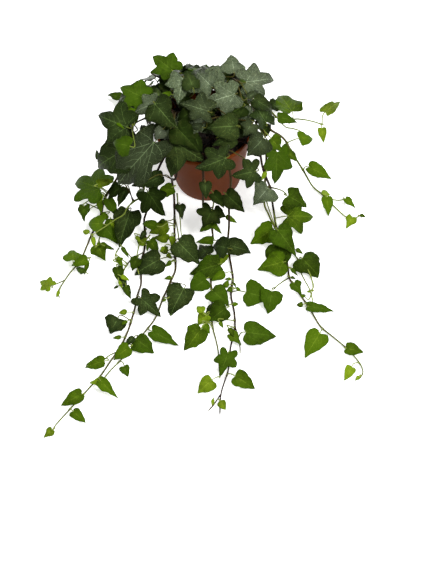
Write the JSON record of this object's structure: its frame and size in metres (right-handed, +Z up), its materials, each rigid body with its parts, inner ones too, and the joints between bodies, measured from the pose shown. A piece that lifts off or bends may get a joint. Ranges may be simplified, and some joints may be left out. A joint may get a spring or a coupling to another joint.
{
  "type": "potted english ivy",
  "caption": "Trailing ivy with star and heart shaped leaves in a tapered terracotta-coloured plastic pot, its long stems lying along the surface",
  "frame": {"origin": "centre of the underside of the pot, on the surface that the pot stands on", "axes": "+Z up; -Y toward the viewer, the way the longest stems trail; +X to the viewer's right"},
  "size_m": [0.4039, 0.5262, 0.1863],
  "materials": {
    "pot_plastic": "matt, terracotta colour",
    "potting_soil": "dark crumbly potting mix",
    "ivy": "waxy satin leaves and woody stems"
  },
  "bodies": {
    "root": {"back_left": "ivy", "back_middle": "ivy", "back_right": "ivy", "crown_back": "ivy", "crown_back_left": "ivy", "crown_back_right": "ivy", "crown_front": "ivy", "crown_left": "ivy", "crown_left_back": "ivy", "crown_middle": "ivy", "crown_middle_left": "ivy", "crown_middle_right": "ivy", "crown_right": "ivy", "pot": "pot_plastic", "soil": "potting_soil", "stem_front": "ivy", "stem_front_left": "ivy", "stem_front_right": "ivy", "stem_left_far": "ivy", "stem_left_long": "ivy", "stem_left_pale": "ivy", "stem_right": "ivy", "stem_right_back": "ivy", "stem_right_low": "ivy", "stem_right_side": "ivy"}
  },
  "joints": []
}
